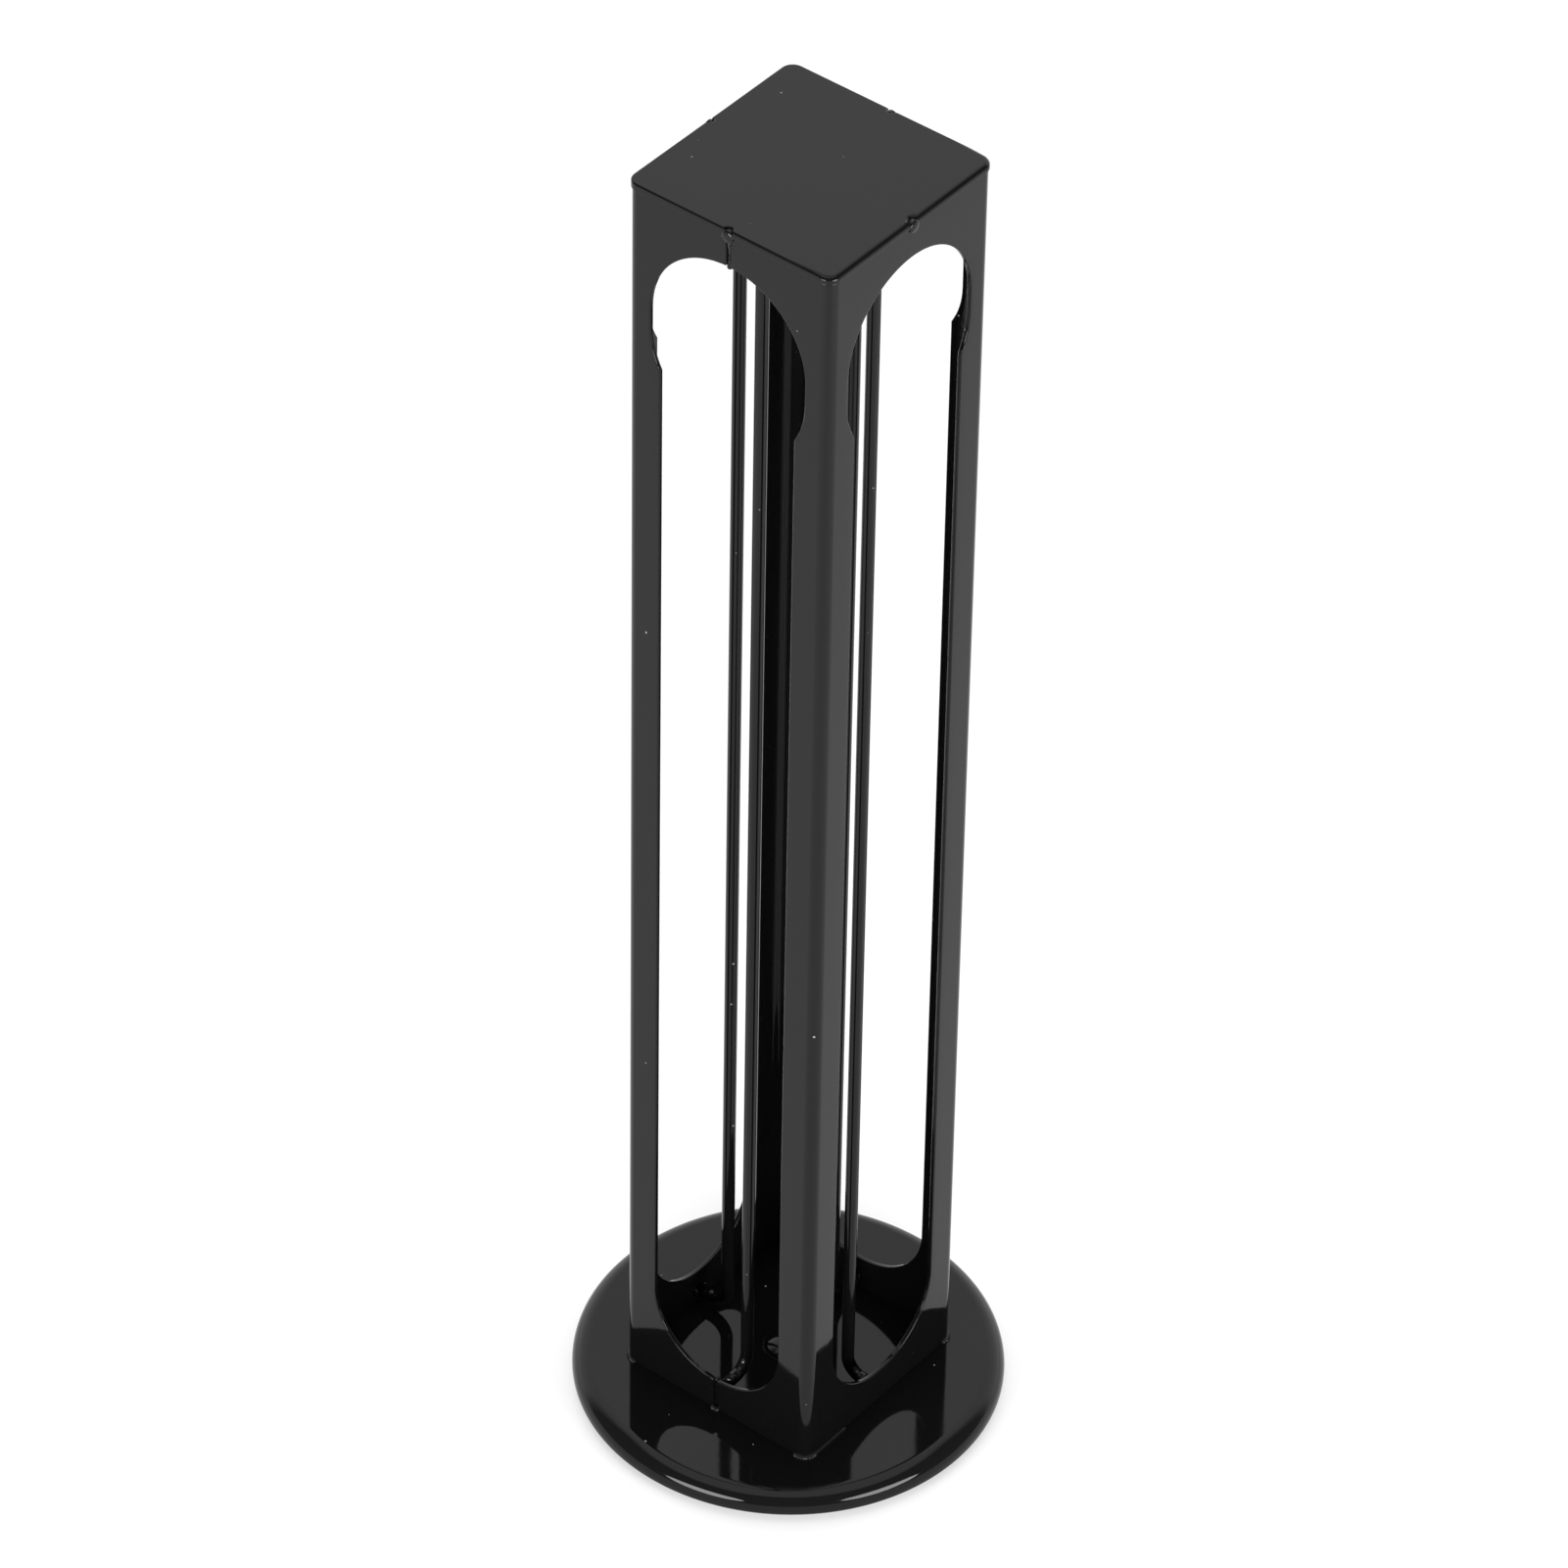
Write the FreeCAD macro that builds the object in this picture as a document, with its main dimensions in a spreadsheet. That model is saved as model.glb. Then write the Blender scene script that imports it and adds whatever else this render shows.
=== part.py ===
"""Rotating capsule tower: a square keyhole-slotted steel column on a round swivel base.

Frame: +Z up, X and Y square to the column's walls, origin on the table under the column's axis.
The column's seam is in the wall that faces -Y. Lengths are in millimetres, angles in degrees.
"""

import FreeCAD, Part
import math
import os

import Sketcher
from FreeCAD import Base

doc = FreeCAD.newDocument("capsule_tower")

# ---------------------------------------------------------------- driving dimensions
SIZES = {
    # column: one sheet, wrapped square, with its two edges facing each other across a slit
    "column_side": 72,
    "column_height": 449,
    "sheet_gauge": 1.5,
    "column_bend": 3.6,
    "seam_gap": 1.6,
    # keyhole slot in each wall
    "slot_width": 48,
    "slot_sill": 12,
    "entry_width": 55,
    "entry_straight": 7.4,
    "entry_lintel": 10.5,
    # top plate
    "plate_gauge": 2.5,
    "plate_overhang": 0.4,
    "plate_edge_round": 0.6,
    "notch_radius": 1.5,
    # wire guides
    "wire_gauge": 4,
    "wire_bend": 6,
    "rim_room": 9.1,
    "upper_leg_drop": 3.4,
    "lower_leg_drop": 5.6,
    # how far each wire guide stands to the right of its slot's middle
    "shift_front": 2.2,
    "shift_right": -0.3,
    "shift_back": 1.5,
    "shift_left": 1.4,
    # weld beads
    "nugget_radius": 2.2,
    "nugget_depth": 1.3,
    "nugget_stand": 0.7,
    "nugget_lift": 0.25,
    "guide_bead_size": 1.1,
    "guide_bead_sweep": 220,
    "foot_bead_radius": 1.3,
    "foot_bead_length": 18,
    "seam_bead_width": 3.4,
    # base disc, drawn from sheet
    "disc_diameter": 134,
    "disc_gauge": 1.5,
    "disc_round": 6,
    "disc_height": 7,
    # swivel
    "rubber_height": 3,
    "rubber_diameter": 16,
    "rubber_circle": 90,
    "rubber_edge_round": 0.6,
    "stem_diameter": 5,
    "stem_bulb_diameter": 7.6,
    "stem_bulb_height": 2,
    "foot_plate_diameter": 112,
    "foot_plate_gauge": 1.2,
    "ball_diameter": 4,
    "ball_circle": 60,
    "groove_depth": 0.45,
    "race_gauge": 1.2,
    "race_width": 18,
    "cage_gauge": 1.6,
    "cage_width": 9,
    "pivot_diameter": 6,
    "pivot_head_diameter": 14,
    "pivot_head_height": 2,
    "pivot_tail_diameter": 11,
    "pivot_tail_height": 1.2,
    "washer_diameter": 16,
    "washer_gauge": 0.6,
    "running_clearance": 0.05,
}
BALL_COUNT = 16
FOOT_COUNT = 4
WALLS = {"front": 0, "right": 90, "back": 180, "left": 270}
SEAM_WALL = "front"

sizes = doc.addObject("Spreadsheet::Sheet", "sizes")
for row, (name, number) in enumerate(SIZES.items(), start=1):
    sizes.set(f"A{row}", name)
    sizes.set(f"B{row}", str(number))
    sizes.setAlias(f"B{row}", name)
doc.recompute()

# ---------------------------------------------------------------- sizes that follow, as expressions
half_side = "(sizes.column_side / 2)"
wall_inside = f"({half_side} - sizes.sheet_gauge)"
wire_radius = "(sizes.wire_gauge / 2)"
wire_offset = f"({wall_inside} - sizes.rim_room - {wire_radius})"
foot_plate_top = "(sizes.rubber_height + sizes.foot_plate_gauge)"
ball_radius = "(sizes.ball_diameter / 2)"
ball_centre = f"({foot_plate_top} - sizes.groove_depth + {ball_radius})"
race_bottom = f"({ball_centre} + {ball_radius} - sizes.groove_depth)"
disc_underside = f"({race_bottom} + sizes.race_gauge)"
disc_top = f"({disc_underside} + sizes.disc_gauge)"
column_top = f"({disc_top} + sizes.column_height)"
slot_half = "(sizes.slot_width / 2)"
sill = f"({disc_top} + sizes.slot_sill)"
entry_radius = "(sizes.entry_width / 2)"
entry_upper = f"({column_top} - sizes.entry_lintel - {entry_radius})"
entry_lower = f"({entry_upper} - sizes.entry_straight)"
shoulder = f"({entry_lower} - sqrt({entry_radius} ^ 2 - {slot_half} ^ 2))"
plate_half = f"({half_side} + sizes.plate_overhang)"
seam_leg = f"({sill} - {wire_radius})"
upper_leg = f"({column_top} - sizes.upper_leg_drop)"
groove_radius = f"({ball_radius} + sizes.running_clearance)"
pivot_bore = "(sizes.pivot_diameter / 2 + sizes.running_clearance)"
washer_top = f"({disc_top} + sizes.washer_gauge)"
head_underside = f"({washer_top} + sizes.running_clearance)"


def number(expression):
    """The value an expression has now, used to place geometry before it is bound."""
    return float(sizes.evalExpression(expression))


# ---------------------------------------------------------------- small makers
def new_body(name):
    body = doc.addObject("PartDesign::Body", name)
    body.Label = name
    return body


def new_sketch(body, name, role, offset=None):
    """An empty sketch on one of the body's own origin planes, lifted off it by an expression."""
    plane = next(f for f in body.Origin.OriginFeatures if f.Role == role)
    sketch = body.newObject("Sketcher::SketchObject", f"{body.Name}_{name}")
    sketch.AttachmentSupport = (plane, [""])
    sketch.MapMode = "FlatFace"
    if offset:
        sketch.setExpression("AttachmentOffset.Base.z", offset)
    return sketch


def constrain(sketch, expression, kind, *where):
    """Adds a dimension whose value is an expression."""
    index = sketch.addConstraint(Sketcher.Constraint(kind, *where, number(expression)))
    sketch.setExpression(f"Constraints[{index}]", expression)


def pin(sketch, curve, end, x, y):
    """Fixes one end of a curve at (x, y), measured from the sketch's origin."""
    constrain(sketch, x, "DistanceX", -1, 1, curve, end)
    constrain(sketch, y, "DistanceY", -1, 1, curve, end)


def add_circle(sketch, x, y, radius):
    circle = Part.Circle(Base.Vector(number(x), number(y), 0), Base.Vector(0, 0, 1), number(radius))
    index = sketch.addGeometry(circle, False)
    pin(sketch, index, 3, x, y)
    constrain(sketch, radius, "Radius", index)


def draw(sketch, points, bends=None, closed=True):
    """Lines through the points, in order. bends[i] = (centre x, centre y, "ccw" or "cw") makes the
    stretch that leaves point i an arc."""
    bends = bends or {}
    places = [Base.Vector(number(x), number(y), 0) for x, y in points]
    centres = {i: Base.Vector(number(x), number(y), 0) for i, (x, y, _) in bends.items()}
    count = len(points) if closed else len(points) - 1
    heads, tails = [], []
    for i in range(count):
        start, end = places[i], places[(i + 1) % len(points)]
        backwards = i in bends and bends[i][2] == "cw"
        if i in bends:
            first, last = (end, start) if backwards else (start, end)
            angles = [math.atan2(p.y - centres[i].y, p.x - centres[i].x) for p in (first, last)]
            if angles[1] <= angles[0]:
                angles[1] += 2 * math.pi
            circle = Part.Circle(centres[i], Base.Vector(0, 0, 1), (start - centres[i]).Length)
            curve = Part.ArcOfCircle(circle, *angles)
        else:
            curve = Part.LineSegment(start, end)
        index = sketch.addGeometry(curve, False)
        heads.append((index, 2 if backwards else 1))
        tails.append((index, 1 if backwards else 2))
        if i in bends:
            pin(sketch, index, 3, *bends[i][:2])
    for i in range(count if closed else count - 1):
        sketch.addConstraint(Sketcher.Constraint("Coincident", *tails[i], *heads[(i + 1) % count]))
    for i, (curve, end) in enumerate(heads):
        x, y = points[i]
        arc = (i - 1) % count if closed else i - 1
        spoke = places[i] - centres[arc] if arc in bends else None
        # an arc already holds its end at its own radius, so one more distance fixes the end
        if spoke is None or abs(spoke.x) < abs(spoke.y):
            constrain(sketch, x, "DistanceX", -1, 1, curve, end)
        if spoke is None or abs(spoke.x) >= abs(spoke.y):
            constrain(sketch, y, "DistanceY", -1, 1, curve, end)
    if not closed:
        pin(sketch, *tails[-1], *points[-1])


def rounded_square(sketch, half, radius):
    """A square about the origin, half its side given, with rounded corners."""
    inner = f"({half} - {radius})"
    points, bends = [], {}
    for i, (a, b) in enumerate([("", "-"), ("", ""), ("-", ""), ("-", "-")]):
        before = (a + half, b + inner) if i % 2 == 1 else (a + inner, b + half)
        after = (a + inner, b + half) if i % 2 == 1 else (a + half, b + inner)
        bends[2 * i] = (a + inner, b + inner, "ccw")
        points += [before, after]
    draw(sketch, points, bends)


def pad(body, sketch, length):
    feature = body.newObject("PartDesign::Pad", f"{sketch.Name}_pad")
    feature.Profile = sketch
    feature.setExpression("Length", length)
    return feature


def pocket(body, sketch, length, midplane=False, reversed_=False):
    """Cuts the sketch's outline out of the body and makes sure that something was cut."""
    doc.recompute()
    before = body.Shape.Volume
    feature = body.newObject("PartDesign::Pocket", f"{sketch.Name}_cut")
    feature.Profile = sketch
    feature.setExpression("Length", length)
    feature.Midplane = midplane
    feature.Reversed = reversed_
    doc.recompute()
    assert body.Shape.Volume < before, f"{feature.Name} cuts nothing"
    return feature


def revolve(body, sketch, axis="V_Axis"):
    feature = body.newObject("PartDesign::Revolution", f"{sketch.Name}_turn")
    feature.Profile = sketch
    feature.ReferenceAxis = (sketch, [axis])
    feature.Angle = 360
    return feature


def round_edges(body, base, edges, radius):
    feature = body.newObject("PartDesign::Fillet", f"{base.Name}_round")
    feature.Base = (base, edges)
    feature.setExpression("Radius", radius)
    return feature


def edges_at(shape, height):
    """Names of the edges that lie wholly at one height."""
    found = []
    for i, edge in enumerate(shape.Edges, start=1):
        if all(abs(edge.valueAt(t).z - height) < 1e-6 for t in edge.ParameterRange):
            found.append(f"Edge{i}")
    return found


def turned(angle, along, across="0"):
    """Expressions for the place that is `along` out from the axis through a wall, and `across` to
    its right, once the wall that faces -Y is turned by the angle."""
    x = f"({across}) * cos({angle}) + ({along}) * sin({angle})"
    y = f"({across}) * sin({angle}) - ({along}) * cos({angle})"
    return x, y


def on_circle(radius, angle):
    """Expressions for a place on a circle about the axis."""
    return f"{radius} * cos({angle})", f"{radius} * sin({angle})"


def place(item, x, y, z):
    for axis, expression in zip("xyz", (x, y, z)):
        item.setExpression(f"Placement.Base.{axis}", expression)


def turn(item, angle):
    item.Placement = Base.Placement(item.Placement.Base, Base.Rotation(Base.Vector(0, 0, 1), angle))


def primitive(kind, name, **values):
    item = doc.addObject(f"Part::{kind}", name)
    for key, expression in values.items():
        item.setExpression(key, expression)
    return item


def cut_back(bead, *tools):
    """A weld bead, less the pieces that it runs against."""
    for tool in tools:
        cut = doc.addObject("Part::Cut", f"{bead.Name}_less_{tool.Name}")
        cut.Base = bead
        cut.Tool = tool
        bead = cut
    return bead


def group(name, members):
    """Separate solids that share one node."""
    joined = doc.addObject("Part::Compound", name)
    joined.Links = members
    joined.Label = name


# ---------------------------------------------------------------- column shell
column = new_body("column_shell")
tube = new_sketch(column, "section", "XY_Plane", disc_top)
rounded_square(tube, half_side, "sizes.column_bend")
rounded_square(tube, wall_inside, "(sizes.column_bend - sizes.sheet_gauge)")
pad(column, tube, "sizes.column_height")

for plane in ("XZ_Plane", "YZ_Plane"):
    keyhole = new_sketch(column, f"keyhole_{plane[:2]}", plane)
    outline = [
        (f"-{slot_half}", f"{sill} + {slot_half}"),
        (slot_half, f"{sill} + {slot_half}"),
        (slot_half, shoulder),
        (entry_radius, entry_lower),
        (entry_radius, entry_upper),
        (f"-{entry_radius}", entry_upper),
        (f"-{entry_radius}", entry_lower),
        (f"-{slot_half}", shoulder),
    ]
    arcs = {
        0: ("0", f"{sill} + {slot_half}", "ccw"),
        2: ("0", entry_lower, "ccw"),
        4: ("0", entry_upper, "ccw"),
        6: ("0", entry_lower, "ccw"),
    }
    draw(keyhole, outline, arcs)
    pocket(column, keyhole, "sizes.column_side * 2", midplane=True)

seam = new_sketch(column, "seam", "XZ_Plane")
gap_half = "(sizes.seam_gap / 2)"
draw(seam, [(f"-{gap_half}", "0"), (gap_half, "0"), (gap_half, column_top), (f"-{gap_half}", column_top)])
pocket(column, seam, "sizes.column_side", reversed_=True)

# ---------------------------------------------------------------- top plate
plate = new_body("top_plate")
blank = new_sketch(plate, "blank", "XY_Plane", column_top)
rounded_square(blank, plate_half, "(sizes.column_bend + sizes.plate_overhang)")
blank_pad = pad(plate, blank, "sizes.plate_gauge")
doc.recompute()
plate_top = number(column_top) + SIZES["plate_gauge"]
round_edges(plate, blank_pad, edges_at(blank_pad.Shape, plate_top), "sizes.plate_edge_round")
notches = new_sketch(plate, "notches", "XY_Plane", f"{column_top} + sizes.plate_gauge")
for x, y in (("0", f"-{plate_half}"), (plate_half, "0"), ("0", plate_half), (f"-{plate_half}", "0")):
    add_circle(notches, x, y, "sizes.notch_radius")
pocket(plate, notches, "sizes.plate_gauge")

# ---------------------------------------------------------------- wire guides, one behind each slot
def lower_leg(wall):
    """The height of a guide's lower leg: level with the sill on the seam's wall, else below it."""
    return seam_leg if wall == SEAM_WALL else f"({seam_leg} - sizes.lower_leg_drop)"


for wall, angle in WALLS.items():
    leg = lower_leg(wall)
    guide = new_body(f"wire_guide_{wall}")
    route = new_sketch(guide, "route", "YZ_Plane")
    bend_start = f"(-{wire_offset} - sizes.wire_bend)"
    line = [
        (f"-{wall_inside}", leg),
        (bend_start, leg),
        (f"-{wire_offset}", f"{leg} + sizes.wire_bend"),
        (f"-{wire_offset}", f"{upper_leg} - sizes.wire_bend"),
        (bend_start, upper_leg),
        (f"-{wall_inside}", upper_leg),
    ]
    elbows = {
        1: (bend_start, f"{leg} + sizes.wire_bend", "ccw"),
        3: (bend_start, f"{upper_leg} - sizes.wire_bend", "ccw"),
    }
    draw(route, line, elbows, closed=False)
    section = new_sketch(guide, "section", "XZ_Plane", wall_inside)
    add_circle(section, "0", leg, wire_radius)
    sweep = guide.newObject("PartDesign::AdditivePipe", f"{guide.Name}_sweep")
    sweep.Profile = section
    sweep.Spine = (route, [f"Edge{i}" for i in range(1, 6)])
    turn(guide, angle)
    place(guide, *turned(angle, "0", f"sizes.shift_{wall}"), "0")

# ---------------------------------------------------------------- base disc
disc = new_body("base_disc")
pressing = new_sketch(disc, "pressing", "XZ_Plane")
rim = "(sizes.disc_diameter / 2)"
round_centre = (f"({rim} - sizes.disc_round)", f"({disc_top} - sizes.disc_round)")
lip = f"({disc_top} - sizes.disc_height)"
draw(
    pressing,
    [
        (pivot_bore, disc_underside),
        (round_centre[0], disc_underside),
        (f"({rim} - sizes.disc_gauge)", round_centre[1]),
        (f"({rim} - sizes.disc_gauge)", lip),
        (rim, lip),
        (rim, round_centre[1]),
        (round_centre[0], disc_top),
        (pivot_bore, disc_top),
    ],
    {
        1: (*round_centre, "cw"),
        5: (*round_centre, "ccw"),
    },
)
revolve(disc, pressing)

# ---------------------------------------------------------------- races of the ball bearing
for name, bottom, gauge, inner, outer in (
    (
        "upper_race",
        race_bottom,
        "sizes.race_gauge",
        "(sizes.ball_circle - sizes.race_width) / 2",
        "(sizes.ball_circle + sizes.race_width) / 2",
    ),
    (
        "foot_plate",
        "sizes.rubber_height",
        "sizes.foot_plate_gauge",
        "sizes.pivot_diameter / 2",
        "sizes.foot_plate_diameter / 2",
    ),
):
    race = new_body(name)
    ring = new_sketch(race, "ring", "XY_Plane", bottom)
    add_circle(ring, "0", "0", outer)
    add_circle(ring, "0", "0", inner)
    pad(race, ring, gauge)
    doc.recompute()
    flat_volume = race.Shape.Volume
    track = new_sketch(race, "track", "XZ_Plane")
    add_circle(track, "sizes.ball_circle / 2", ball_centre, groove_radius)
    groove = race.newObject("PartDesign::Groove", f"{name}_groove")
    groove.Profile = track
    groove.ReferenceAxis = (track, ["V_Axis"])
    groove.Angle = 360
    doc.recompute()
    assert race.Shape.Volume < flat_volume, f"{name} has no groove"


foot_places = [on_circle("sizes.rubber_circle / 2", 45 + 360 * k / FOOT_COUNT) for k in range(FOOT_COUNT)]
foot_plate = doc.getObject("foot_plate")
stem_holes = new_sketch(foot_plate, "stem_holes", "XY_Plane", foot_plate_top)
for spot in foot_places:
    add_circle(stem_holes, *spot, "sizes.stem_diameter / 2")
pocket(foot_plate, stem_holes, "sizes.foot_plate_gauge")

# ---------------------------------------------------------------- ball cage and balls
cage = new_body("ball_cage")
cage_ring = new_sketch(cage, "ring", "XY_Plane", f"{ball_centre} - sizes.cage_gauge / 2")
add_circle(cage_ring, "0", "0", "(sizes.ball_circle + sizes.cage_width) / 2")
add_circle(cage_ring, "0", "0", "(sizes.ball_circle - sizes.cage_width) / 2")
pad(cage, cage_ring, "sizes.cage_gauge")
window = new_sketch(cage, "window", "XY_Plane", ball_centre)
add_circle(window, "sizes.ball_circle / 2", "0", groove_radius)
window_cut = pocket(cage, window, "sizes.cage_gauge * 2", midplane=True)
windows = cage.newObject("PartDesign::PolarPattern", "ball_cage_windows")
windows.Originals = [window_cut]
windows.Axis = (window, ["N_Axis"])
windows.Angle = 360
windows.Occurrences = BALL_COUNT
cage.Tip = windows

balls = []
for k in range(BALL_COUNT):
    ball = primitive("Sphere", f"ball_{k}", Radius=ball_radius)
    place(ball, *on_circle("sizes.ball_circle / 2", 360 * k / BALL_COUNT), ball_centre)
    balls.append(ball)
group("bearing_balls", balls)

# ---------------------------------------------------------------- pivot rivet and its washers
rivet = new_body("pivot_rivet")
turning = new_sketch(rivet, "turning", "XZ_Plane")
shank = "(sizes.pivot_diameter / 2)"
head = "(sizes.pivot_head_diameter / 2)"
tail = "(sizes.pivot_tail_diameter / 2)"
tail_top = "(sizes.rubber_height - sizes.washer_gauge)"
head_top = f"({head_underside} + sizes.pivot_head_height)"
dome_radius = f"(({head} ^ 2 + sizes.pivot_head_height ^ 2) / (2 * sizes.pivot_head_height))"
draw(
    turning,
    [
        ("0", f"{tail_top} - sizes.pivot_tail_height"),
        (tail, f"{tail_top} - sizes.pivot_tail_height"),
        (tail, tail_top),
        (shank, tail_top),
        (shank, head_underside),
        (head, head_underside),
        ("0", head_top),
    ],
    {5: ("0", f"{head_top} - {dome_radius}", "ccw")},
)
revolve(rivet, turning)

for name, bottom, bore in (
    ("head_washer", disc_top, pivot_bore),
    ("tail_washer", tail_top, shank),
):
    washer = new_body(name)
    ring = new_sketch(washer, "ring", "XY_Plane", bottom)
    add_circle(ring, "0", "0", "sizes.washer_diameter / 2")
    add_circle(ring, "0", "0", bore)
    pad(washer, ring, "sizes.washer_gauge")

# ---------------------------------------------------------------- rubber feet
# Each foot is pushed up through a hole in the foot plate and held by the bulb on its stem.
for k, spot in enumerate(foot_places, start=1):
    foot = new_body(f"rubber_foot_{k}")
    profile = new_sketch(foot, "profile", "XZ_Plane")
    edge = "(sizes.rubber_diameter / 2)"
    stem = "(sizes.stem_diameter / 2)"
    bulb_top = f"({foot_plate_top} + sizes.stem_bulb_height)"
    draw(
        profile,
        [
            ("0", "0"),
            (f"{edge} - sizes.rubber_edge_round", "0"),
            (edge, "sizes.rubber_edge_round"),
            (edge, "sizes.rubber_height"),
            (stem, "sizes.rubber_height"),
            (stem, foot_plate_top),
            ("sizes.stem_bulb_diameter / 2", foot_plate_top),
            (stem, bulb_top),
            ("0", bulb_top),
        ],
        {1: (f"{edge} - sizes.rubber_edge_round", "sizes.rubber_edge_round", "ccw")},
    )
    revolve(foot, profile)
    place(foot, *spot, "0")
doc.recompute()

# ---------------------------------------------------------------- weld beads
# Each notch of the top plate is filled with a domed nugget that laps on to the wall below it.
plate_beads = []
dome_foot = f"(-{plate_half})"
dome_tip = f"(-{plate_half} - sizes.nugget_stand)"
nugget_dome = "((sizes.nugget_radius ^ 2 + sizes.nugget_stand ^ 2) / (2 * sizes.nugget_stand))"
for wall, angle in WALLS.items():
    nugget = new_body(f"nugget_{wall}")
    profile = new_sketch(nugget, "profile", "YZ_Plane")
    draw(
        profile,
        [
            (f"-({half_side} - sizes.nugget_depth)", "0"),
            (f"-({half_side} - sizes.nugget_depth)", "sizes.nugget_radius"),
            (dome_foot, "sizes.nugget_radius"),
            (dome_tip, "0"),
        ],
        {2: (f"{dome_tip} + {nugget_dome}", "0", "ccw")},
    )
    revolve(nugget, profile, "H_Axis")
    turn(nugget, angle)
    place(nugget, "0", "0", f"{column_top} + sizes.nugget_lift")
    plate_beads.append(cut_back(nugget, plate, column))
group("top_plate_welds", plate_beads)

# A fillet bead runs round the underside of each wire's end, against the inside of the wall.
guide_beads = []
for wall, angle in WALLS.items():
    for level, height in (("lower", lower_leg(wall)), ("upper", upper_leg)):
        bead = new_body(f"guide_bead_{wall}_{level}")
        profile = new_sketch(bead, "profile", "YZ_Plane")
        draw(
            profile,
            [
                (f"-{wall_inside}", f"-{wire_radius}"),
                (f"-{wall_inside}", f"-({wire_radius} + sizes.guide_bead_size)"),
                (f"-({wall_inside} - sizes.guide_bead_size)", f"-{wire_radius}"),
            ],
            {1: (f"-{wall_inside}", f"-{wire_radius}", "ccw")},
        )
        fillet = revolve(bead, profile, "H_Axis")
        fillet.setExpression("Angle", "sizes.guide_bead_sweep")
        fillet.Midplane = True
        turn(bead, angle)
        place(bead, *turned(angle, "0", f"sizes.shift_{wall}"), height)
        guide_beads.append(bead)
group("guide_welds", guide_beads)

# A fillet bead round the outside of each corner of the column's foot, run on along one wall.
foot_beads = []
corner = f"({half_side} - sizes.column_bend)"
run_centre = f"({half_side} - sizes.foot_bead_length / 2)"
for wall, angle in WALLS.items():
    knuckle = primitive(
        "Torus",
        f"foot_knuckle_{wall}",
        Radius1="sizes.column_bend",
        Radius2="sizes.foot_bead_radius",
        Angle1="-180",
        Angle2="0",
        Angle3="90",
    )
    turn(knuckle, angle - 90)
    place(knuckle, *turned(angle, corner, corner), disc_top)
    run = primitive(
        "Ellipsoid",
        f"foot_run_{wall}",
        Radius1="sizes.foot_bead_radius",
        Radius2="sizes.foot_bead_radius",
        Radius3="sizes.foot_bead_length / 2",
        Angle1="0",
    )
    turn(run, angle)
    place(run, *turned(angle, run_centre, half_side), disc_top)
    bead = doc.addObject("Part::Fuse", f"foot_bead_{wall}")
    bead.Base = knuckle
    bead.Tool = run
    foot_beads.append(cut_back(bead, column))
seam_bead = primitive(
    "Ellipsoid",
    "seam_bead",
    Radius1="sizes.foot_bead_radius",
    Radius2="sizes.seam_bead_width / 2",
    Radius3="sizes.foot_bead_radius",
    Angle1="0",
)
place(seam_bead, *turned(0, half_side), disc_top)
foot_beads.append(cut_back(seam_bead, column))
group("foot_welds", foot_beads)

# ---------------------------------------------------------------- check and write
NODES = [
    "column_shell",
    "top_plate",
    "top_plate_welds",
    *(f"wire_guide_{wall}" for wall in WALLS),
    "guide_welds",
    "foot_welds",
    "base_disc",
    "head_washer",
    "upper_race",
    "ball_cage",
    "bearing_balls",
    "foot_plate",
    "pivot_rivet",
    "tail_washer",
    *(f"rubber_foot_{k + 1}" for k in range(FOOT_COUNT)),
]
doc.recompute()
for item in doc.Objects:
    faults = {"Invalid", "Error"} & set(item.State)
    assert not faults, f"{item.Name}: {item.State}"
labelled = {item.Label: item for item in doc.Objects}
for node in NODES:
    shape = labelled[node].Shape
    assert not shape.isNull() and shape.isValid(), f"{node} has no valid shape"

os.makedirs("parts", exist_ok=True)
for node in NODES:
    shape = labelled[node].Shape
    shape.exportStep(f"parts/{node}.step")
    print(f"{node}: {len(shape.Solids)} solid(s), {shape.Volume:.1f} mm3")
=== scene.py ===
"""Rotating capsule tower: a keyhole-slotted square steel column on a round swivel base.

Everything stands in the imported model's frame, in metres: +Z up, origin on the table under the
column's axis, the column's seam in the wall that faces -Y. The sections follow the tower as it is
put together, from the rubber feet up, and the studio comes last.
"""

import math

import bmesh
import bpy
from mathutils import Matrix, Vector


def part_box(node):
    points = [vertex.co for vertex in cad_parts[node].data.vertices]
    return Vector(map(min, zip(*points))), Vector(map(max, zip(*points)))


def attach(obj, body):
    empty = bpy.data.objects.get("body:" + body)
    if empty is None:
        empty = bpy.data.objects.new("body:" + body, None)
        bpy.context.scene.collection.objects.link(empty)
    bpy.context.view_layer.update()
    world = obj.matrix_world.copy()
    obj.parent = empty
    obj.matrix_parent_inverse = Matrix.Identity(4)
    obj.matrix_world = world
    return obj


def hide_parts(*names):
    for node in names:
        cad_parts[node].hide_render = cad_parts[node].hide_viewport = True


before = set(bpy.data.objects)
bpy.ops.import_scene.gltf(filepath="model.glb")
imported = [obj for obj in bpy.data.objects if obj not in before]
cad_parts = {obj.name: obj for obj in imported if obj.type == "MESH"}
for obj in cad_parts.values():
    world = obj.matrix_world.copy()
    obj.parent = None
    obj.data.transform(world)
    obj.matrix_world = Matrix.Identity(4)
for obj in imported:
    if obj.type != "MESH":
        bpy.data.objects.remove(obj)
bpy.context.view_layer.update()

# ---------------------------------------------------------------- rubber feet
# Four round feet, moulded in black rubber. Each is pushed up through a hole in the foot plate
# and is held there by the bulb on its stem.
MM = 0.001


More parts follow.
